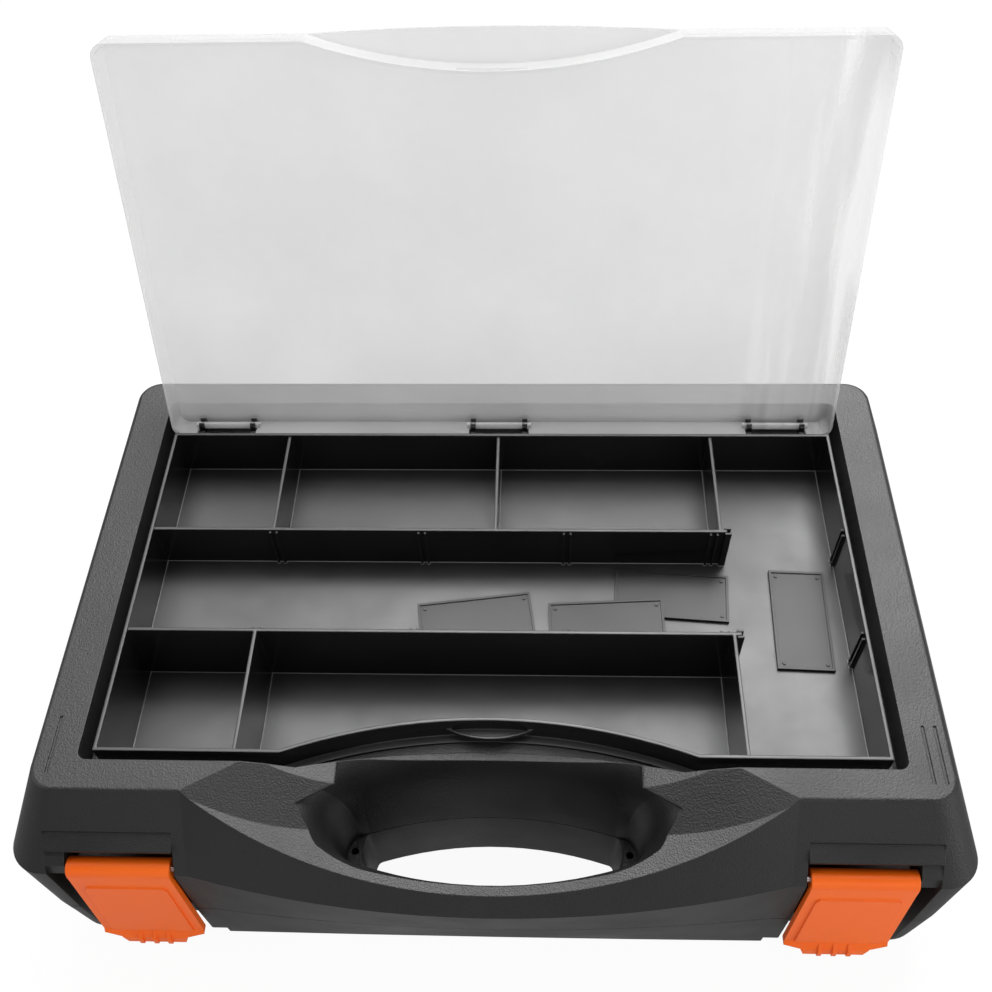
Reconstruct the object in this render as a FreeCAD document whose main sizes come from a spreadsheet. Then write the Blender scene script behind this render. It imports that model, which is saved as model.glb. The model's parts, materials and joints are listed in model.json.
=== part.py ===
import FreeCAD, Part
import math
import os

os.makedirs("parts", exist_ok=True)

# A flat carrying case for a power drill. X runs to the right, Y to the back and Z up.
# The origin is at the centre of the underside. All values are in millimetres.
# The lid is closed, both latches are closed and the clear cover stands open.

V = FreeCAD.Vector
doc = FreeCAD.newDocument("carrying_case")
sheet = doc.addObject("Spreadsheet::Sheet", "dimensions")
values = (
    ("case_top", 115.0),
    ("case_seam", 42.0),
    ("case_widest", 85.0),
    ("wall", 2.5),
    ("foot_radius", 8.0),
    ("bottom_half", 196.5),
    ("bottom_depth", 127.2),
    ("seam_half", 199.0),
    ("seam_depth", 129.5),
    ("widest_half", 200.5),
    ("widest_depth", 130.0),
    ("top_half", 188.0),
    ("top_front", 105.5),
    ("top_rear", 121.0),
    ("corner_radius", 15.0),
    ("top_corner", 11.0),
    ("bulge_half", 125.0),
    ("bulge_bottom", 0.2),
    ("bulge_seam", 7.0),
    ("bulge_widest", 15.0),
    ("bulge_top", 21.5),
    ("scoop_depth", 20.5),
    ("shelf_half", 98.0),
    ("shelf_depth", 16.0),
    ("window_half", 170.0),
    ("window_front", 92.3),
    ("window_rear", 106.5),
    ("window_floor", 99.0),
    ("tray_half", 165.0),
    ("tray_depth", 87.5),
    ("tray_rim", 113.2),
    ("tray_wall", 1.5),
    ("tray_floor", 86.2),
    ("tray_front_floor", 74.2),
    ("row_wall", 28.0),
    ("column_wall", 106.0),
    ("cover_half", 167.0),
    ("cover_front", 91.5),
    ("cover_rear", 99.0),
    ("cover_plate", 1.8),
    ("cover_skirt", 1.5),
    ("cover_rim", 13.2),
    ("cover_angle", 107.0),
    ("cover_axis_back", 97.0),
    ("cover_axis_up", 108.6),
    ("cover_bar", 3.5),
    ("hinge_gap", 0.08),
    ("latch_across", 152.7),
    ("latch_wide", 43.2),
    ("latch_axis_front", 126.5),
    ("latch_axis_up", 84.0),
    ("latch_barrel", 9.0),
    ("latch_pin", 2.5),
    ("recess_inner", 129.3),
    ("recess_outer", 183.0),
    ("recess_draft", 2.6),
    ("recess_back", 117.5),
    ("case_hinge_across", 105.0),
    ("case_hinge_back", 134.5),
    ("case_hinge_barrel", 8.4),
    ("case_hinge_pin", 3.0),
    ("divider_long", 54.0),
    ("divider_wide", 26.0),
    ("divider_thick", 1.6),
)
for number, (name, value) in enumerate(values, start=1):
    sheet.set("A%d" % number, name)
    sheet.set("B%d" % number, str(value))
    sheet.setAlias("B%d" % number, name)
doc.recompute()
size = {name: float(getattr(sheet, name)) for name, value in values}

top = size["case_top"]
seam = size["case_seam"]
widest = size["case_widest"]
wall = size["wall"]


def box(x0, x1, y0, y1, z0, z1):
    shape = Part.makeBox(x1 - x0, y1 - y0, z1 - z0, V(x0, y0, z0))
    return shape


def rod(x0, x1, y, z, radius):
    shape = Part.makeCylinder(radius, x1 - x0, V(x0, y, z), V(1, 0, 0))
    return shape


def polygon(points):
    closed = [V(*point) for point in points]
    closed.append(closed[0])
    return Part.makePolygon(closed)


def prism(points, direction):
    face = Part.Face(polygon(points))
    return face.extrude(V(*direction))


# A closed outline with rounded corners at one level.
def outline(level, half, front, rear, radius):
    k = radius * (1.0 - math.sqrt(0.5))
    r = radius
    corners = (
        ((half, front + r), (half - k, front + k), (half - r, front)),
        ((-half + r, front), (-half + k, front + k), (-half, front + r)),
        ((-half, rear - r), (-half + k, rear - k), (-half + r, rear)),
        ((half - r, rear), (half - k, rear - k), (half, rear - r)),
    )
    edges = []
    for n, (a, b, c) in enumerate(corners):
        d = corners[(n + 1) % 4][0]
        edges.append(Part.Arc(V(*a, level), V(*b, level), V(*c, level)).toShape())
        edges.append(Part.LineSegment(V(*c, level), V(*d, level)).toShape())
    return Part.Wire(edges)


# The same outline on several levels, joined by straight walls.
def block(levels):
    return Part.makeLoft([outline(*level) for level in levels], True, True)


def bow(level, half, front, sag, rear):
    arc = Part.Arc(V(-half, front, level), V(0, front - sag, level), V(half, front, level)).toShape()
    side = Part.LineSegment(V(half, front, level), V(half, rear, level)).toShape()
    back = Part.LineSegment(V(half, rear, level), V(-half, rear, level)).toShape()
    other = Part.LineSegment(V(-half, rear, level), V(-half, front, level)).toShape()
    return Part.Wire([arc, side, back, other])


# The curved front of the handle, which swells out of the flat front.
def bulge(levels, inset):
    half = size["bulge_half"] - inset
    wires = []
    for level, front, sag in levels:
        wires.append(bow(level, half, -front + 0.3 + inset, sag + 0.3, -98.0))
    return Part.makeLoft(wires, True, True)


# The hand opening: a lens shape that narrows towards the seam and flares at its mouth.
def lens(levels, grow, smooth=False):
    wires = []
    for level, rear, rear_end, front, front_end, half, front_half, end, soft in levels:
        a = V(-half - grow, -rear_end + grow, level)
        b = V(0, -rear + grow, level)
        c = V(half + grow, -rear_end + grow, level)
        d = V(front_half + grow, -front_end - grow, level)
        e = V(0, -front - grow, level)
        f = V(-front_half - grow, -front_end - grow, level)
        g = V(half + end + grow, -(rear_end + front_end) / 2.0, level)
        h = V(-half - end - grow, -(rear_end + front_end) / 2.0, level)
        arcs = []
        for ends in ((a, b, c), (c, g, d), (d, e, f), (f, h, a)):
            edge = Part.Arc(*ends).toShape()
            first, last = edge.ParameterRange
            cut = soft / edge.Curve.Radius
            turns = (first + cut, (first + last) / 2.0, last - cut)
            arcs.append([edge.valueAt(turn) for turn in turns] + [ends[2]])
        edges = []
        for n, (start, middle, stop, corner) in enumerate(arcs):
            edges.append(Part.Arc(start, middle, stop).toShape())
            curve = Part.BezierCurve()
            curve.setPoles([stop, corner, arcs[(n + 1) % 4][0]])
            edges.append(curve.toShape())
        wires.append(Part.Wire(edges))
    return Part.makeLoft(wires, True, not smooth)


# The half space in front of and above a sloping facet beside the handle.
def facet_space(side, drop):
    corner = V(side * size["bulge_half"], -size["top_front"], top)
    ledge = V(side * size["shelf_half"], -90.0, top)
    inner = V(side * 64.0, -115.0, top - 15.3)
    normal = (ledge - corner).cross(inner - corner)
    if normal.z < 0:
        normal = normal * -1.0
    normal.normalize()
    slab = Part.makeBox(900, 900, 300, V(-450, -450, 0))
    slab.Placement = FreeCAD.Placement(corner - normal * drop, FreeCAD.Rotation(V(0, 0, 1), normal))
    return slab


# Everything above an arch that hangs between two points of the top face.
def hanging(half, sag, y0, y1, drop):
    a = V(-half, y0, top - drop)
    b = V(0, y0, top - sag - drop)
    c = V(half, y0, top - drop)
    d = V(half, y0, top + 40)
    e = V(-half, y0, top + 40)
    edges = [
        Part.Arc(a, b, c).toShape(),
        Part.LineSegment(c, d).toShape(),
        Part.LineSegment(d, e).toShape(),
        Part.LineSegment(e, a).toShape(),
    ]
    return Part.Face(Part.Wire(edges)).extrude(V(0, y1 - y0, 0))


# The region in front of the wall behind the hand opening.
def before_wall(back):
    wires = [bow(level, 57.0, -94.3 + back, -8.8, -260.0) for level in (-20.0, top + 60.0)]
    shape = Part.makeLoft(wires, True, True)
    for x in (-131.0, 56.0):
        shape = shape.fuse(box(x, x + 75.0, -260.0, -60.0 + back, -20.0, top + 60.0))
    return shape


def scoop(extra):
    shape = hanging(size["bulge_half"] + 1.0, size["scoop_depth"], -175.0, -60.0, extra)
    shape = shape.common(facet_space(1, extra))
    shape = shape.common(facet_space(-1, extra))
    return shape.common(before_wall(extra))


def window(extra, low):
    half = size["window_half"] + extra
    front = -size["window_front"] - extra
    rear = size["window_rear"] + extra
    r = 4.0
    k = r * (1.0 - math.sqrt(0.5))
    arc_half = 80.0
    arc_sag = 12.5
    points = {
        "a": V(arc_half, front, low),
        "b": V(half - r, front, low),
        "c": V(half, front + r, low),
        "d": V(half, rear - r, low),
        "e": V(half - r, rear, low),
        "f": V(-half + r, rear, low),
        "g": V(-half, rear - r, low),
        "h": V(-half, front + r, low),
        "i": V(-half + r, front, low),
        "j": V(-arc_half, front, low),
    }
    p = points
    edges = [
        Part.LineSegment(p["a"], p["b"]).toShape(),
        Part.Arc(p["b"], V(half - k, front + k, low), p["c"]).toShape(),
        Part.LineSegment(p["c"], p["d"]).toShape(),
        Part.Arc(p["d"], V(half - k, rear - k, low), p["e"]).toShape(),
        Part.LineSegment(p["e"], p["f"]).toShape(),
        Part.Arc(p["f"], V(-half + k, rear - k, low), p["g"]).toShape(),
        Part.LineSegment(p["g"], p["h"]).toShape(),
        Part.Arc(p["h"], V(-half + k, front + k, low), p["i"]).toShape(),
        Part.LineSegment(p["i"], p["j"]).toShape(),
        Part.Arc(p["j"], V(0, front + arc_sag, low), p["a"]).toShape(),
    ]
    return Part.Face(Part.Wire(edges)).extrude(V(0, 0, top + 20 - low))


# The plan of the tray, grown or shrunk by one value.
def tray_plan(grow, low, high):
    half = size["tray_half"] + grow
    front = -size["tray_depth"] - grow
    rear = size["tray_depth"] + grow
    a = V(half, front, low)
    b = V(half, rear, low)
    c = V(-half, rear, low)
    d = V(-half, front, low)
    e = V(-86.5, front, low)
    f = V(0, -71.8 - grow, low)
    g = V(86.5, front, low)
    edges = [
        Part.LineSegment(a, b).toShape(),
        Part.LineSegment(b, c).toShape(),
        Part.LineSegment(c, d).toShape(),
        Part.LineSegment(d, e).toShape(),
        Part.Arc(e, f, g).toShape(),
        Part.LineSegment(g, a).toShape(),
    ]
    return Part.Face(Part.Wire(edges)).extrude(V(0, 0, high - low))


# The space around a latch. Its inner wall leans outwards below the widest level.
def recess(side, extra, low, high):
    inner = size["recess_inner"] - extra
    outer = size["recess_outer"] + extra
    lean = size["recess_draft"]
    depth = 170.0 - size["recess_back"] + extra
    low_inner = inner + lean * (widest - low) / widest
    points = [(low_inner, low), (inner, max(widest, low)), (inner, high), (outer, high), (outer, low)]
    if high <= widest:
        high_inner = inner + lean * (widest - high) / widest
        points = [(low_inner, low), (high_inner, high), (outer, high), (outer, low)]
    return prism([(side * x, -170.0, z) for x, z in points], (0, depth, 0))


both = (-1, 1)
lid_levels = (
    (seam, size["seam_depth"], size["bulge_seam"]),
    (widest, size["widest_depth"], size["bulge_widest"]),
    (top, size["top_front"], size["bulge_top"]),
)
seam_lens = (85.5, 94.5, 121.0, 112.0, 58.0, 55.0, 8.0, 1.5)
lid_lens = (
    (seam - 2.0,) + seam_lens,
    (62.0, 85.5, 94.3, 125.5, 117.0, 58.5, 56.0, 8.0, 2.5),
    (84.0, 85.3, 93.6, 131.5, 123.0, 59.3, 57.0, 8.6, 5.0),
    (93.0, 84.6, 92.0, 134.8, 126.5, 60.3, 58.0, 9.2, 8.0),
    (98.5, 83.6, 90.0, 136.6, 128.5, 61.5, 59.0, 10.5, 11.0),
    (102.5, 82.2, 88.0, 137.8, 129.8, 63.0, 60.5, 12.0, 14.0),
    (105.5, 80.5, 86.0, 138.6, 130.6, 65.0, 62.0, 14.0, 16.0),
)
base_lens = (
    (-1.0, 84.0, 93.0, 117.0, 109.0, 56.5, 55.0, 1.5, 1.5),
    (seam + 2.0, 85.5, 94.5, 121.0, 111.0, 57.5, 56.0, 1.5, 1.5),
)


def lid_block(inset, low, high, top_corner):
    levels = (
        (low, size["seam_half"] - inset, -size["seam_depth"] + inset, size["seam_depth"] - inset,
         size["corner_radius"] - inset),
        (widest, size["widest_half"] - inset, -size["widest_depth"] + inset,
         size["widest_depth"] - inset, size["corner_radius"] - inset),
        (high, size["top_half"] - inset, -size["top_front"] + inset, size["top_rear"] - inset,
         top_corner - inset),
    )
    return block(levels)


lid = lid_block(0.0, seam, top, size["top_corner"])
rim_edges = [e for e in lid.Edges if min(v.Z for v in e.Vertexes) > top - 0.01]
lid = lid.makeFillet(2.2, rim_edges)
lid = lid.fuse(bulge(lid_levels, 0.0))
cavity = lid_block(wall, seam - 1.0, top - wall, size["corner_radius"])
inner_levels = (
    (seam - 1.0, size["seam_depth"], size["bulge_seam"]),
    (widest, size["widest_depth"], size["bulge_widest"]),
    (top - wall, size["top_front"], size["bulge_top"]),
)
cavity = cavity.fuse(bulge(inner_levels, wall))
shelf = hanging(size["shelf_half"], size["shelf_depth"], -150.0, -66.0, 0.0)
shelf_keep = hanging(size["shelf_half"] + wall, size["shelf_depth"], -150.0, -66.0, wall)
front_keep = shelf_keep.fuse(scoop(wall))
cavity = cavity.cut(front_keep)
cavity = cavity.cut(window(wall, size["window_floor"] - wall))
funnel_back = lid_lens[:3] + lid_lens[4::2]
cavity = cavity.cut(lens(funnel_back, wall))
for side in both:
    cavity = cavity.cut(recess(side, wall, seam - 2.0, top))
lid = lid.cut(scoop(0.0))
lid = lid.cut(shelf)
lid = lid.cut(window(0.0, size["window_floor"]))
lid = lid.cut(lens(lid_lens, 0.0, True))
for side in both:
    lid = lid.cut(recess(side, 0.0, seam - 2.0, top + 5.0))
lid = lid.cut(cavity)
lid = lid.cut(tray_plan(0.4, size["window_floor"] - wall - 1.0, top))

# Short engraved lines near the front corners of the top face.
for x in (-181.0, 178.4, 183.4):
    lid = lid.cut(box(x - 0.6, x + 0.6, -98.5, -73.0, top - 0.6, top + 1.0))

# A ledge above each latch and an ear beside it that holds the outer end of its pin.
barrel = size["latch_barrel"] / 2.0
axis_front = -size["latch_axis_front"]
axis_up = size["latch_axis_up"]
back = -size["recess_back"] + 0.1
for side in both:
    ledge = ((back, 99.2), (-124.0, 95.2), (-124.0, 94.0), (back, 90.0))
    start = side * size["recess_inner"]
    length = side * (size["recess_outer"] - size["recess_inner"])
    lid = lid.fuse(prism([(start, y, z) for y, z in ledge], (length, 0, 0)))
    ear = ((back, 96.0), (-124.5, 91.0), (-127.6, 88.0), (-128.4, 81.5), (-124.5, 77.0), (back, 76.0))
    start = side * (size["latch_across"] + size["latch_wide"] / 2.0 + 0.6)
    length = side * (size["recess_outer"] + 0.2) - start
    lid = lid.fuse(prism([(start, y, z) for y, z in ear], (length, 0, 0)))


# One hinge knuckle with a web that reaches the rear wall.
def knuckle(x0, x1, rise, bore):
    back = size["case_hinge_back"]
    radius = size["case_hinge_barrel"] / 2.0
    shape = rod(x0, x1, back, seam, radius)
    web = (
        (x0, size["seam_depth"] - 1.4, seam + rise * 0.4),
        (x0, back, seam + rise * 0.4),
        (x0, back + radius - 0.4, seam + rise * 1.6),
        (x0, back + radius - 0.4, seam + rise * 3.5),
        (x0, size["seam_depth"] - 1.4, seam + rise * 13.0),
    )
    shape = shape.fuse(prism(web, (x1 - x0, 0, 0)))
    return shape.cut(rod(x0 - 1.0, x1 + 1.0, back, seam, bore))


pin_half = size["case_hinge_pin"] / 2.0
gap = size["hinge_gap"]
for side in both:
    across = side * size["case_hinge_across"]
    lid = lid.fuse(knuckle(across - 14.0, across + 14.0, 1.0, pin_half + gap))

# Stepped holes for the latch pins in the side walls of both recesses.
latch_pin_half = size["latch_pin"] / 2.0
pin_low = size["recess_inner"] - 2.2
pin_high = size["recess_outer"] + 2.2
for side in both:
    ends = sorted((side * pin_low, side * pin_high))
    lid = lid.cut(rod(ends[0], ends[1], axis_front, axis_up, latch_pin_half))

# The plan of the base on rising levels, with a rounded foot drawn in a few steps.
def base_block(inset, radius, steps, high):
    levels = []
    for n in range(steps + 1):
        turn = math.pi / 2.0 * n / steps
        levels.append((inset + radius * (1.0 - math.cos(turn)), radius * (1.0 - math.sin(turn))))
    levels.append((high, 0.0))
    sections = []
    for level, draw_in in levels:
        share = level / seam
        half = size["bottom_half"] + (size["seam_half"] - size["bottom_half"]) * share
        depth = size["bottom_depth"] + (size["seam_depth"] - size["bottom_depth"]) * share
        less = inset + draw_in
        sections.append((level, half - less, -depth + less, depth - less, size["corner_radius"] - less))
    return block(sections)


# The base: a shallow pan with the lower half of the handle.
base = base_block(0.0, size["foot_radius"], 4, seam)
base_levels = (
    (0.0, size["bottom_depth"], size["bulge_bottom"]),
    (seam, size["seam_depth"], size["bulge_seam"]),
)
base = base.fuse(bulge(base_levels, 0.0))
pan = base_block(wall, size["foot_radius"] - wall, 2, seam + 0.01)
pan_levels = (
    (wall, size["bottom_depth"], size["bulge_bottom"]),
    (seam + 0.01, size["seam_depth"], size["bulge_seam"]),
)
pan = pan.fuse(bulge(pan_levels, wall))
pan = pan.cut(lens(base_lens, wall))
ledge_plan = ((seam - 3.0,) + seam_lens, (seam + 2.0,) + seam_lens)
pan = pan.cut(lens(ledge_plan, wall))
screws = []
for side in both:
    screws.append(V(side * 62.4, -102.6, 0.0))
    pan = pan.cut(Part.makeCylinder(4.6, seam + 2.0, screws[-1]))
for side in both:
    pan = pan.cut(recess(side, wall, -2.0, seam + 2.0))
base = base.cut(lens(base_lens, 0.0))
for side in both:
    base = base.cut(recess(side, 0.0, -2.0, seam + 2.0))
base = base.cut(pan)
for spot in screws:
    base = base.cut(Part.makeCylinder(1.6, 16.0, spot + V(0, 0, seam - 14.0)))

# A tongue along the seam that enters the lid.
tongue_gap = 0.35
step = wall + tongue_gap


def seam_plan(inset, low, high):
    shape = block((
        (low, size["seam_half"] - inset, -size["seam_depth"] + inset, size["seam_depth"] - inset,
         size["corner_radius"] - inset),
        (high, size["seam_half"] - inset, -size["seam_depth"] + inset, size["seam_depth"] - inset,
         size["corner_radius"] - inset),
    ))
    swell = bulge(((low, size["seam_depth"], size["bulge_seam"]),
                   (high, size["seam_depth"], size["bulge_seam"])), inset)
    return shape.fuse(swell)


tongue = seam_plan(step, seam - 0.5, seam + 2.6).cut(seam_plan(step + 1.4, seam - 5.0, seam + 4.0))
root = seam_plan(wall - 0.2, seam - 4.0, seam - 0.05).cut(seam_plan(step + 1.4, seam - 5.0, seam + 4.0))
tongue = tongue.fuse(root)
through = lens(((seam - 6.0,) + seam_lens, (seam + 8.0,) + seam_lens), step)
tongue = tongue.cut(through)
for side in both:
    tongue = tongue.cut(recess(side, step, seam - 6.0, seam + 8.0))
base = base.fuse(tongue)

# A fine shadow groove just below the seam.
groove_low = seam - 0.6
groove = seam_plan(-2.0, groove_low, seam).cut(seam_plan(0.5, groove_low - 1.0, seam + 1.0))
base = base.cut(groove)
base = base.cut(lens(((groove_low,) + base_lens[1][1:], (seam + 2.0,) + base_lens[1][1:]), 0.5))

# The keeper rib below each latch and the outer hinge knuckles.
for side in both:
    across = side * size["latch_across"]
    keeper = prism((
        (across - 18.0, -size["recess_back"] + 0.5, 30.0),
        (across - 18.0, -124.3, 32.0),
        (across - 18.0, -124.3, 34.5),
        (across - 18.0, -size["recess_back"] + 0.5, 36.0),
    ), (36.0, 0, 0))
    base = base.fuse(keeper)
    hinge = side * size["case_hinge_across"]
    for x in (hinge - 29.0, hinge + 14.4):
        base = base.fuse(knuckle(x, x + 14.6, -1.0, pin_half))

# The organiser tray.
rim = size["tray_rim"]
half = size["tray_half"]
thin = size["tray_wall"]
floor = size["tray_floor"]
front_floor = size["tray_front_floor"]
row = size["row_wall"]
column = size["column_wall"]
tray = tray_plan(0.0, floor - thin, rim)
front_well = tray_plan(0.0, front_floor - thin, rim).common(
    box(-half, column + thin, -100.0, -row + thin / 2.0, 0.0, top)
)
tray = tray.fuse(front_well)
flange = tray_plan(3.6, size["window_floor"], size["window_floor"] + 1.4)
tray = tray.fuse(flange)
inner = tray_plan(-thin, floor, top)
deep = tray_plan(-thin, front_floor, top).common(
    box(-half, column, -100.0, -row - thin / 2.0, 0.0, top)
)
hollow = inner.fuse(deep)
low_rim = rim - 1.0
walls = (
    box(-half + 0.5, column + 3.0, row - thin / 2.0, row + thin / 2.0, floor - 0.5, low_rim),
    box(-half + 0.5, column + 4.0, -row - thin / 2.0, -row + thin / 2.0, floor - 0.5, low_rim),
    box(-column - thin / 2.0, -column + thin / 2.0, row, 87.0, floor - 0.5, low_rim),
    box(-thin / 2.0, thin / 2.0, row, 87.0, floor - 0.5, low_rim),
    box(column - thin / 2.0, column + thin / 2.0, row, 87.0, floor - 0.5, low_rim),
    box(-column - thin / 2.0, -column + thin / 2.0, -87.0, -row, front_floor - 0.5, low_rim),
    box(column, column + thin, -87.0, -row, front_floor - 0.5, low_rim),
)
for piece in walls:
    hollow = hollow.cut(piece)
tray = tray.cut(hollow)

# Pairs of narrow ribs that hold the loose dividers upright.
slot = size["divider_thick"] + 0.5
ribs = []
for x in (-106.0, -35.0, 34.0, 103.0):
    for shift in (-slot / 2.0 - 1.0, slot / 2.0):
        for y in (row - thin / 2.0 - 1.2, -row + thin / 2.0):
            ribs.append(box(x + shift, x + shift + 1.0, y, y + 1.2, floor - 0.2, low_rim - 1.0))
for y in (row, -row):
    for shift in (-slot / 2.0 - 1.0, slot / 2.0):
        ribs.append(box(half - thin - 1.2, half - thin + 0.2, y + shift, y + shift + 1.0, floor - 0.2,
                        low_rim - 1.0))
        ribs.append(box(column + 2.0, column + 5.0, y + shift, y + shift + 1.0, floor - 0.2, low_rim))
for piece in ribs:
    tray = tray.fuse(piece)

# A half-moon finger rest with a raised edge on the outside of the tray's front wall.
moon_radius = 41.0
moon_front = -77.0
moon_spot = V(0, moon_front + moon_radius, 104.0)
moon = Part.makeCylinder(moon_radius, 1.4, moon_spot)
edge = Part.makeCylinder(moon_radius, 2.4, moon_spot).cut(Part.makeCylinder(moon_radius - 1.1, 9.0, moon_spot))
moon = moon.fuse(edge).cut(tray_plan(-0.8, 0.0, top))
moon = moon.common(box(-40.0, 40.0, -79.0, -70.0, 90.0, top))
tray = tray.fuse(moon)

# Open clips behind the tray that carry the cover.
axis_y = size["cover_axis_back"]
axis_z = size["cover_axis_up"]
bar_half = size["cover_bar"] / 2.0
clip_spots = (-140.0, 0.0, 140.0)
for spot in clip_spots:
    for shift in (-13.2, 13.2):
        x = spot + shift
        clip = rod(x - 1.3, x + 1.3, axis_y, axis_z, 3.6)
        arm = box(x - 1.3, x + 1.3, size["tray_depth"] - 0.5, axis_y, axis_z - 3.6, axis_z - 0.6)
        clip = clip.fuse(arm)
        clip = clip.cut(rod(x - 3.0, x + 3.0, axis_y, axis_z, bar_half + gap))
        clip = clip.cut(box(x - 3.0, x + 3.0, axis_y - 1.45, axis_y + 1.45, axis_z, axis_z + 5.0))
        tray = tray.fuse(clip)
    for shift in (-10.2, 0.0, 10.2):
        x = spot + shift
        stud = rod(x - 2.2, x + 2.2, size["tray_depth"] + 0.9, axis_z + 1.4, 1.7)
        tray = tray.fuse(stud)
tray = tray.removeSplitter()

# The clear cover, drawn closed and turned open at the end.
cover_half = size["cover_half"]
cover_front = -size["cover_front"]
cover_rear = size["cover_rear"]
plate_low = rim + 0.1
plate_high = plate_low + size["cover_plate"]


def cover_plan(inset, low, high, dip, swell):
    half_x = cover_half - inset
    f = cover_front + inset
    b = cover_rear - inset
    r = 6.0 - inset
    k = r * (1.0 - math.sqrt(0.5))
    arc_half = 78.0
    a = V(half_x - r, f, low)
    c = V(half_x, f + r, low)
    d = V(half_x, b - r, low)
    e = V(half_x - r, b, low)
    g = V(-half_x + r, b, low)
    h = V(-half_x, b - r, low)
    i = V(-half_x, f + r, low)
    j = V(-half_x + r, f, low)
    left = V(-arc_half, f, low)
    right = V(arc_half, f, low)
    middle = V(0, f + dip - swell, low)
    edges = [
        Part.LineSegment(right, a).toShape(),
        Part.Arc(a, V(half_x - k, f + k, low), c).toShape(),
        Part.LineSegment(c, d).toShape(),
        Part.Arc(d, V(half_x - k, b - k, low), e).toShape(),
        Part.LineSegment(e, g).toShape(),
        Part.Arc(g, V(-half_x + k, b - k, low), h).toShape(),
        Part.LineSegment(h, i).toShape(),
        Part.Arc(i, V(-half_x + k, f + k, low), j).toShape(),
        Part.LineSegment(j, left).toShape(),
        Part.Arc(left, middle, right).toShape(),
    ]
    return Part.Face(Part.Wire(edges)).extrude(V(0, 0, high - low))


skirt = size["cover_skirt"]
rim_low = rim - size["cover_rim"] + 0.6
cover = cover_plan(0.0, plate_low, plate_high, 0.0, 2.3)
skirts = cover_plan(0.0, rim_low, plate_low + 0.2, 12.5, 0.0)
skirts = skirts.cut(cover_plan(skirt, rim_low - 1.0, plate_low, 12.5, 0.0))
cover = cover.fuse(skirts)
for spot in clip_spots:
    cover = cover.cut(box(spot - 15.2, spot + 15.2, 92.0, 100.0, rim_low - 1.0, plate_low))
    bar = rod(spot - 16.4, spot + 16.4, axis_y, axis_z, bar_half)
    cover = cover.fuse(bar)
catch = prism((
    (-15.0, -79.2 + skirt, rim_low + 2.4),
    (-15.0, -79.9, rim_low + 1.6),
    (-15.0, -79.2 + skirt, rim_low),
), (30.0, 0, 0))
low_line = cover_plan(12.0, plate_low - 0.5, plate_low + 0.1, 12.5, 0.0)
low_line = low_line.cut(cover_plan(13.0, plate_low - 1.0, plate_low + 0.1, 12.5, 0.0))
low_line = low_line.common(box(-155.0, 155.0, -90.0, -60.0, 0.0, 200.0))
cover = cover.fuse(low_line).fuse(catch)
cover = cover.removeSplitter()
cover.rotate(V(0, axis_y, axis_z), V(-1, 0, 0), size["cover_angle"])

# One latch around its own axis: X along the barrel, Z up, Y to the back.
wide = size["latch_wide"] / 2.0
body = rod(-wide, wide, 0, 0, barrel)
side_view = (
    (-30.0, -4.5, 0.6), (-30.0, -8.0, -57.0), (-30.0, -10.6, -61.5), (-30.0, -11.0, -66.0),
    (-30.0, -9.0, -66.4), (-30.0, -7.0, -62.0), (-30.0, -5.2, -58.0), (-30.0, -2.0, -3.6),
)
panel = prism(side_view, (60.0, 0, 0))
front_view = (
    (-wide, -20.0, 5.0), (-wide, -20.0, -4.0), (-wide - 1.2, -20.0, -59.0), (-wide + 6.5, -20.0, -61.0),
    (-wide + 8.5, -20.0, -66.4), (wide - 8.5, -20.0, -66.4), (wide - 6.5, -20.0, -61.0),
    (wide + 1.2, -20.0, -59.0), (wide, -20.0, -4.0), (wide, -20.0, 5.0),
)
panel = panel.common(prism(front_view, (0, 40.0, 0)))
raised = prism((
    (-30.0, -4.9, -9.0), (-30.0, -5.8, -9.6), (-30.0, -8.9, -56.0), (-30.0, -6.0, -56.6),
), (60.0, 0, 0))
raised_front = prism((
    (-15.0, -20.0, -7.0), (-17.6, -20.0, -12.0), (-18.6, -20.0, -58.0), (18.6, -20.0, -58.0),
    (17.6, -20.0, -12.0), (15.0, -20.0, -7.0),
), (0, 40.0, 0))
panel = panel.fuse(raised.common(raised_front))
for x in (-6.5, 0.0, 6.5):
    panel = panel.fuse(prism((
        (x - 1.0, -8.6, -58.0), (x - 1.0, -11.6, -61.0), (x - 1.0, -11.9, -65.6), (x - 1.0, -9.4, -66.2),
    ), (2.0, 0, 0)))
hook = prism((
    (-16.0, -5.0, -50.0), (-16.0, 1.2, -56.0), (-16.0, 1.2, -57.6), (-16.0, -5.5, -58.0),
), (32.0, 0, 0))
latch = body.fuse(panel).fuse(hook)
latch = latch.cut(rod(-wide - 1.0, wide + 1.0, 0, 0, latch_pin_half + gap)).removeSplitter()

# One loose divider lying flat, with a raised border and a dot in each corner.
long_half = size["divider_long"] / 2.0
wide_half = size["divider_wide"] / 2.0
thick = size["divider_thick"]
divider = box(-long_half, long_half, -wide_half, wide_half, 0.0, thick - 0.5)
border = box(-long_half, long_half, -wide_half, wide_half, 0.0, thick)
border = border.cut(box(-long_half + 1.2, long_half - 1.2, -wide_half + 1.2, wide_half - 1.2, -1.0, 3.0))
divider = divider.fuse(border)
for x in (-1, 1):
    for y in (-1, 1):
        spot = V(x * (long_half - 3.2), y * (wide_half - 3.2), 0.0)
        corners = [(math.cos(math.pi / 4.0 * n), math.sin(math.pi / 4.0 * n)) for n in range(8)]
        dot = prism([(spot.x + 0.9 * c, spot.y + 0.9 * s, 0.0) for c, s in corners], (0, 0, thick - 0.1))
        divider = divider.fuse(dot)
divider = divider.removeSplitter()

made = []


def place(name, shape, placement=None):
    item = doc.addObject("Part::Feature", name)
    item.Label = name
    solid = shape.Solids[0] if len(shape.Solids) == 1 else shape
    item.Shape = solid
    if placement is not None:
        item.Placement = placement
    made.append(item)


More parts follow.
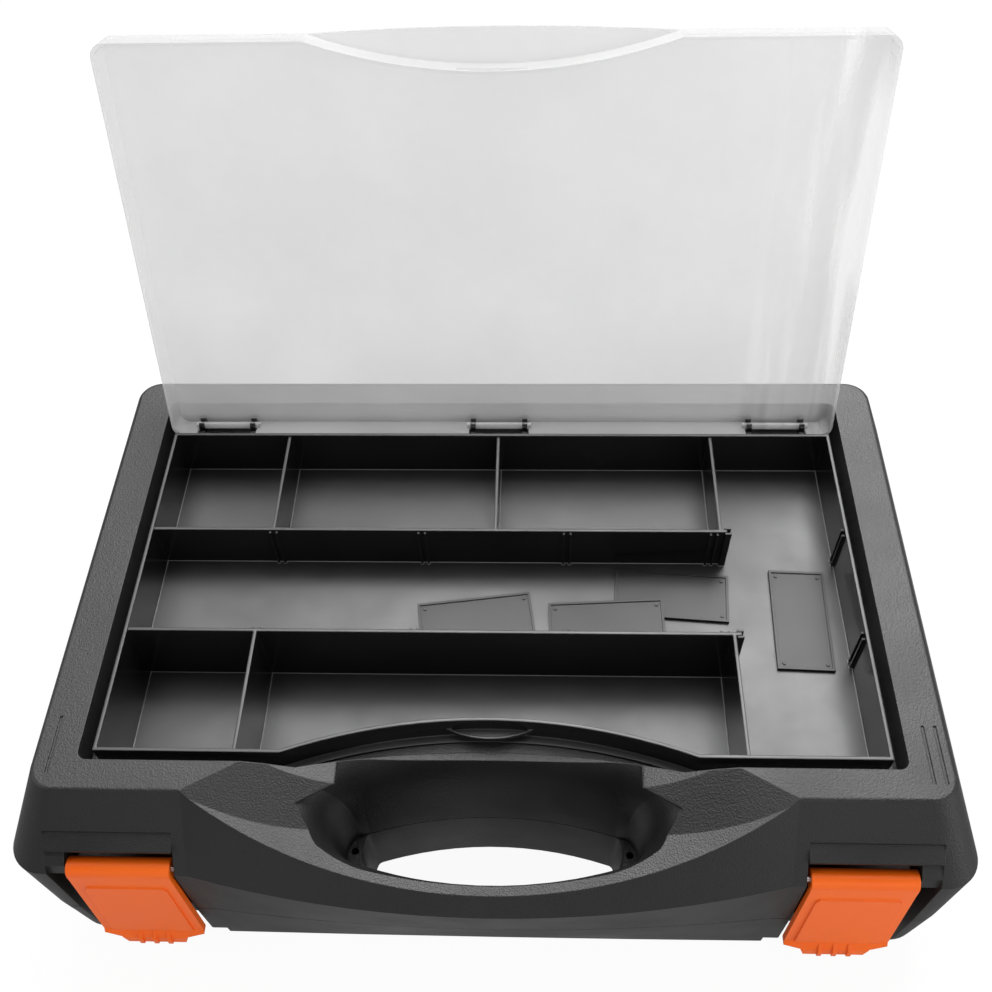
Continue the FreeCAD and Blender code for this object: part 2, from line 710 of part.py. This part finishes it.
def place_pin(name, radius, length, placement):
    item = doc.addObject("Part::Cylinder", name)
    item.Label = name
    item.setExpression("Radius", radius)
    item.setExpression("Height", length)
    item.Placement = placement
    made.append(item)


def lying(x, y, z):
    return FreeCAD.Placement(V(x, y, z), FreeCAD.Rotation(V(0, 1, 0), 90))


place("base_shell", base)
place("lid_shell", lid)
place("organizer_tray", tray)
place("clear_cover", cover)
sides = ((-1, "left"), (1, "right"))
for side, word in sides:
    spot = V(side * size["latch_across"], axis_front, axis_up)
    place("latch_" + word, latch, FreeCAD.Placement(spot, FreeCAD.Rotation()))
    start = min(side * pin_low, side * pin_high)
    place_pin("latch_pin_" + word, "dimensions.latch_pin / 2",
              "dimensions.recess_outer - dimensions.recess_inner + 4.4", lying(start, spot.y, spot.z))
    across = side * size["case_hinge_across"]
    place_pin("hinge_pin_" + word, "dimensions.case_hinge_pin / 2", "58",
              lying(across - 29.0, size["case_hinge_back"], seam))
floor_gap = 0.02
lay = (
    ("divider_1", -8.7, -7.4, 0.0, 7.8, 0.0),
    ("divider_2", 84.0, 8.0, 0.0, -4.2, 0.0),
    ("divider_3", 52.6, -9.6, 0.05, 1.2, -3.2),
    ("divider_4", 143.6, -5.0, 0.0, 87.8, 0.0),
)
for name, x, y, lift, turn, tilt in lay:
    rise = abs(math.sin(math.radians(tilt))) * long_half
    spin = FreeCAD.Rotation(V(0, 0, 1), turn).multiply(FreeCAD.Rotation(V(0, 1, 0), tilt))
    place(name, divider, FreeCAD.Placement(V(x, y, floor + floor_gap + lift + rise), spin))

doc.recompute()
faults = []
for item in made:
    if item.Shape.isNull() or not item.Shape.isValid():
        faults.append(item.Label + " shape")
    if len(item.Shape.Solids) != 1:
        faults.append(item.Label + " solids " + str(len(item.Shape.Solids)))
    if "Invalid" in item.State or "Error" in item.State:
        faults.append(item.Label + " state")
if faults:
    raise RuntimeError("; ".join(faults))
for item in made:
    item.Shape.exportStep("parts/" + item.Label + ".step")
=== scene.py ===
import json
import math

import bpy
from mathutils import Matrix, Vector

MM = 0.001
PICTURE = 992
FOCAL = 1113.0
CENTRE_DOWN = 24.0
SENSOR = 36.0
CAMERA_AT = (19.6, -283.4, 537.0)
ELEVATION = 53.2
YAW = -3.51
ROLL = -2.54
PATCH_TOWARD = (0.10, 0.50, 0.86)
PATCH_EDGE = 0.72
PATCH_CORE = 0.95
PATCH_BRIGHT = 5.2

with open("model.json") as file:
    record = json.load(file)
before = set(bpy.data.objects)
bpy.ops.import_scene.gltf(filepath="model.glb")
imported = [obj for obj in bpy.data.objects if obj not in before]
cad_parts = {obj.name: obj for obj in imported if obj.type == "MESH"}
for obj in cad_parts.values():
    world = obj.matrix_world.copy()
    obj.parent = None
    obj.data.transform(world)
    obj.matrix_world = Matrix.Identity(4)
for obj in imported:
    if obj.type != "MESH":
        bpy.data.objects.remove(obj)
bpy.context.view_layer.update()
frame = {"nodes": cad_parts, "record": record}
nodes = frame["nodes"]


def node_tree(name):
    """A new material with empty nodes and its output."""
    material = bpy.data.materials.new(name)
    material.use_nodes = True
    tree = material.node_tree
    tree.nodes.clear()
    out = tree.nodes.new("ShaderNodeOutputMaterial")
    return material, tree, out


def add(tree, kind, inputs=None, **settings):
    node = tree.nodes.new(kind)
    for key, value in settings.items():
        setattr(node, key, value)
    for key, value in (inputs or {}).items():
        if isinstance(value, bpy.types.NodeSocket):
            tree.links.new(value, node.inputs[key])
        else:
            node.inputs[key].default_value = value
    return node


def noise(tree, where, scale, detail=2.0, rough=0.5):
    return add(
        tree,
        "ShaderNodeTexNoise",
        {"Vector": where, "Scale": scale, "Detail": detail, "Roughness": rough},
    ).outputs["Fac"]


def remap(tree, value, low, high, to_low, to_high):
    return add(
        tree,
        "ShaderNodeMapRange",
        {"Value": value, "From Min": low, "From Max": high, "To Min": to_low, "To Max": to_high},
    ).outputs["Result"]


def mixed(tree, factor, first, second):
    node = add(tree, "ShaderNodeMix", data_type="RGBA")
    for index, value in ((0, factor), (6, first), (7, second)):
        if isinstance(value, bpy.types.NodeSocket):
            tree.links.new(value, node.inputs[index])
        else:
            node.inputs[index].default_value = value
    return node.outputs[2]


def grey(level, warm=0.0):
    return (level * (1 + warm), level, level * (1 - warm), 1.0)


def painted_floor_edge_highlight(tree, where, facing, upward):
    """Mask for a painted highlight: 1 in the thin rounded corner between a compartment's floor and its
    walls.
    """
    rounded = add(tree, "ShaderNodeBevel", {"Radius": 0.0011}, samples=8).outputs["Normal"]
    turned = add(
        tree, "ShaderNodeVectorMath", {0: rounded, 1: facing}, operation="DOT_PRODUCT"
    ).outputs["Value"]
    height = add(tree, "ShaderNodeSeparateXYZ", {"Vector": where}).outputs["Z"]
    mask = remap(tree, turned, 0.97, 0.80, 0.0, 1.0)
    for part in (
        remap(tree, upward, 0.9, 0.99, 0.0, 1.0),
        remap(tree, height, 0.095, 0.100, 1.0, 0.0),
    ):
        mask = add(tree, "ShaderNodeMath", {0: mask, 1: part}, operation="MULTIPLY").outputs[0]
    return mask


def moulded(
    name, dark, light, rough, grain, depth, radius, specular=0.5, rough_swing=0.08, level_rough=None
):
    """A moulded plastic: an even colour with faint clouds, a fine grain and slightly rounded edges.

    With level_rough, the level faces are less glossy than the walls. They also get painted light: a
    lighter base colour as a painted sheen, and a painted highlight in their corners with the walls.
    """
    material, tree, out = node_tree(name)
    where = add(tree, "ShaderNodeTexCoord").outputs["Object"]
    clouds = noise(tree, where, 14.0, 3.0, 0.6)
    colour = mixed(tree, remap(tree, clouds, 0.3, 0.7, 0.0, 1.0), dark, light)
    rounded = add(tree, "ShaderNodeBevel", {"Radius": radius}, samples=6).outputs["Normal"]
    fine = noise(tree, where, grain, 2.0, 0.6)
    bumped = add(
        tree,
        "ShaderNodeBump",
        {"Height": fine, "Strength": 1.0, "Distance": depth, "Normal": rounded},
    ).outputs["Normal"]
    roughness = remap(tree, clouds, 0.3, 0.7, rough - rough_swing, rough + rough_swing)
    if level_rough is not None:
        facing = add(tree, "ShaderNodeTexCoord").outputs["Normal"]
        upward = add(tree, "ShaderNodeSeparateXYZ", {"Vector": facing}).outputs["Z"]
        wide = noise(tree, where, 30.0, 4.0, 0.65)
        level = remap(tree, wide, 0.3, 0.7, level_rough - 0.07, level_rough + 0.05)
        roughness = add(
            tree,
            "ShaderNodeMix",
            {0: remap(tree, upward, 0.9, 0.99, 0.0, 1.0), 2: roughness, 3: level},
        ).outputs[0]
        # Painted sheen: level faces get a lighter base colour, standing in for the glare they catch from
        # above.
        colour = mixed(tree, remap(tree, upward, 0.9, 0.99, 0.0, 1.0), colour, grey(0.014))
        # Painted highlight: a light grey band in the corners between floors and walls, standing in for
        # the light their fillets catch.
        colour = mixed(tree, painted_floor_edge_highlight(tree, where, facing, upward), colour, grey(0.42))
    shader = add(
        tree,
        "ShaderNodeBsdfPrincipled",
        {
            "Base Color": colour,
            "Roughness": roughness,
            "Normal": bumped,
            "Specular IOR Level": specular,
        },
    )
    tree.links.new(shader.outputs[0], out.inputs["Surface"])
    return material


case_black = moulded(
    "case_plastic", grey(0.008), grey(0.013), 0.46, 1300.0, 0.00022, 0.0006, 0.42
)
tray_black = moulded(
    "tray_plastic", grey(0.005), grey(0.008), 0.22, 900.0, 0.00002, 0.0009, 0.6, 0.06, 0.40
)
divider_black = moulded(
    "divider_plastic", grey(0.008), grey(0.012), 0.42, 900.0, 0.00002, 0.0002, 0.36, 0.05
)
latch_orange = moulded(
    "latch_plastic",
    (0.93, 0.128, 0.003, 1.0),
    (0.97, 0.150, 0.005, 1.0),
    0.40,
    1400.0,
    0.00005,
    0.0005,
    0.32,
)


def clear_sheet(name):
    """Clear moulded plastic, faintly milky, with soft ripples; near its right edge it turns clearer in
    narrow bands, a painted reflection.
    """
    material, tree, out = node_tree(name)
    where = add(tree, "ShaderNodeTexCoord").outputs["Object"]
    ripple = noise(tree, where, 9.0, 1.0, 0.4)
    bumped = add(
        tree,
        "ShaderNodeBump",
        {"Height": ripple, "Strength": 0.35, "Distance": 0.002},
    ).outputs["Normal"]
    across = add(tree, "ShaderNodeSeparateXYZ", {"Vector": where}).outputs["X"]
    stretched = add(
        tree, "ShaderNodeMapping", {"Vector": where, "Scale": (70.0, 6.0, 6.0)}
    ).outputs["Vector"]
    # Painted reflection: narrow bands near the right edge are made clearer, standing in for the bright
    # reflections there.
    reflection_streaks = add(
        tree,
        "ShaderNodeMath",
        {
            0: remap(tree, noise(tree, stretched, 1.0, 2.0, 0.5), 0.46, 0.60, 0.0, 1.0),
            1: remap(tree, across, 0.115, 0.150, 0.0, 1.0),
        },
        operation="MULTIPLY",
    ).outputs[0]
    clouds = remap(tree, noise(tree, where, 16.0, 3.0, 0.5), 0.35, 0.65, 0.45, 0.38)
    milkiness = add(tree, "ShaderNodeMix", {0: reflection_streaks, 2: clouds, 3: 0.20}).outputs[0]
    shader = add(
        tree,
        "ShaderNodeBsdfPrincipled",
        {
            "Base Color": grey(0.78),
            "Roughness": 0.16,
            "IOR": 1.45,
            "Alpha": milkiness,
            "Normal": bumped,
        },
    )
    tree.links.new(shader.outputs[0], out.inputs["Surface"])
    return material


def steel(name):
    material, tree, out = node_tree(name)
    where = add(tree, "ShaderNodeTexCoord").outputs["Object"]
    drawn = noise(tree, where, 400.0, 2.0, 0.5)
    shader = add(
        tree,
        "ShaderNodeBsdfPrincipled",
        {
            "Base Color": mixed(tree, drawn, grey(0.45), grey(0.62)),
            "Metallic": 1.0,
            "Roughness": remap(tree, drawn, 0.3, 0.7, 0.25, 0.4),
        },
    )
    tree.links.new(shader.outputs[0], out.inputs["Surface"])
    return material


looks = {
    "case_plastic": case_black,
    "tray_plastic": tray_black,
    "divider_plastic": divider_black,
    "latch_plastic": latch_orange,
    "clear_plastic": clear_sheet("clear_plastic"),
    "pin_steel": steel("pin_steel"),
}
for part in frame["record"]["subparts"]:
    node = nodes[part["node"]]
    node.data.materials.clear()
    node.data.materials.append(looks[part["material_slot"]])


def aimed(elevation, yaw, roll):
    """The camera's turn: its right, up and backward directions as columns."""
    e, a, r = (math.radians(v) for v in (elevation, yaw, roll))
    ahead = Vector((math.sin(a) * math.cos(e), math.cos(a) * math.cos(e), -math.sin(e)))
    level = Vector((math.cos(a), -math.sin(a), 0.0))
    above = level.cross(ahead)
    right = math.cos(r) * level + math.sin(r) * above
    up = -math.sin(r) * level + math.cos(r) * above
    return Matrix((right, up, -ahead)).transposed()


lens = bpy.data.cameras.new("camera")
lens.sensor_width = SENSOR
lens.lens = FOCAL / PICTURE * SENSOR
lens.shift_y = CENTRE_DOWN / PICTURE
lens.clip_start = 0.01
lens.clip_end = 50.0
camera = bpy.data.objects.new("camera", lens)
bpy.context.scene.collection.objects.link(camera)
camera.matrix_world = (
    Matrix.Translation(Vector(CAMERA_AT) * MM) @ aimed(ELEVATION, YAW, ROLL).to_4x4()
)
bpy.context.scene.camera = camera

seen = ("Is Camera Ray", "Is Glossy Ray", "Is Transmission Ray")


def shown_white(tree):
    """1 for rays that show the background, 0 for the light that falls on the object."""
    path = add(tree, "ShaderNodeLightPath")
    total = path.outputs[seen[0]]
    for name in seen[1:]:
        total = add(
            tree, "ShaderNodeMath", {0: total, 1: path.outputs[name]}, operation="MAXIMUM"
        ).outputs[0]
    return total


floor_mesh = bpy.data.meshes.new("floor")
reach = 6.0
floor_mesh.from_pydata(
    [(-reach, -reach, 0), (reach, -reach, 0), (reach, reach, 0), (-reach, reach, 0)],
    [],
    [(0, 1, 2, 3)],
)
floor = bpy.data.objects.new("floor", floor_mesh)
bpy.context.scene.collection.objects.link(floor)
floor_look, tree, out = node_tree("floor")
matt = add(tree, "ShaderNodeBsdfDiffuse", {"Color": grey(0.82)})
faint = add(tree, "ShaderNodeBsdfDiffuse", {"Color": grey(0.07)})
mirrored = add(tree, "ShaderNodeLightPath").outputs["Is Glossy Ray"]
glow = add(
    tree,
    "ShaderNodeEmission",
    {"Color": grey(1.0), "Strength": remap(tree, mirrored, 0.0, 1.0, 0.94, 0.36)},
)
white = add(tree, "ShaderNodeAddShader", {0: faint.outputs[0], 1: glow.outputs[0]})
both = add(
    tree,
    "ShaderNodeMixShader",
    {0: shown_white(tree), 1: matt.outputs[0], 2: white.outputs[0]},
)
tree.links.new(both.outputs[0], out.inputs["Surface"])
floor_mesh.materials.append(floor_look)

world = bpy.data.worlds.new("world")
bpy.context.scene.world = world
world.use_nodes = True
tree = world.node_tree
tree.nodes.clear()
toward = add(tree, "ShaderNodeTexCoord").outputs["Generated"]
height = add(tree, "ShaderNodeSeparateXYZ", {"Vector": toward}).outputs["Z"]
seen_sky = remap(tree, height, 0.12, 0.5, 0.6, 0.12)

# A broad soft patch of light behind and above, which the glossy tray mirrors.
nearness = add(
    tree,
    "ShaderNodeVectorMath",
    {0: toward, 1: Vector(PATCH_TOWARD).normalized()},
    operation="DOT_PRODUCT",
).outputs["Value"]
patch = remap(tree, nearness, PATCH_EDGE, PATCH_CORE, 0.0, PATCH_BRIGHT)
seen_sky = add(tree, "ShaderNodeMath", {0: seen_sky, 1: patch}, operation="ADD").outputs[0]
mirrored = add(tree, "ShaderNodeLightPath").outputs["Is Glossy Ray"]
seen_sky = add(tree, "ShaderNodeMix", {0: mirrored, 2: 1.0, 3: seen_sky}).outputs[0]
strength = add(
    tree,
    "ShaderNodeMix",
    {0: shown_white(tree), 2: 0.42, 3: seen_sky},
).outputs[0]
sky = add(
    tree,
    "ShaderNodeBackground",
    {"Color": grey(1.0), "Strength": strength},
)
out = tree.nodes.new("ShaderNodeOutputWorld")
tree.links.new(sky.outputs[0], out.inputs["Surface"])


def lamp(name, at, target, wide, deep, power):
    light = bpy.data.lights.new(name, "AREA")
    light.shape = "RECTANGLE"
    light.size = wide
    light.size_y = deep
    light.energy = power
    thing = bpy.data.objects.new(name, light)
    bpy.context.scene.collection.objects.link(thing)
    thing.location = at
    thing.rotation_euler = (Vector(target) - Vector(at)).to_track_quat("-Z", "Y").to_euler()
    return thing


lamp("back_softbox", (0.14, 0.72, 1.1), (0.02, 0, 0.08), 0.9, 0.8, 16.0)
lamp("left_softbox", (-1.2, -0.1, 0.8), (0, 0, 0.05), 0.8, 0.6, 4.0)
lamp("right_softbox", (1.1, -0.55, 0.4), (0.1, 0, 0.06), 0.6, 0.5, 4.0)
lamp("front_softbox", (0.2, -1.4, 0.7), (0, 0, 0.05), 1.4, 0.6, 4.0)

bpy.context.scene.view_settings.view_transform = "Standard"
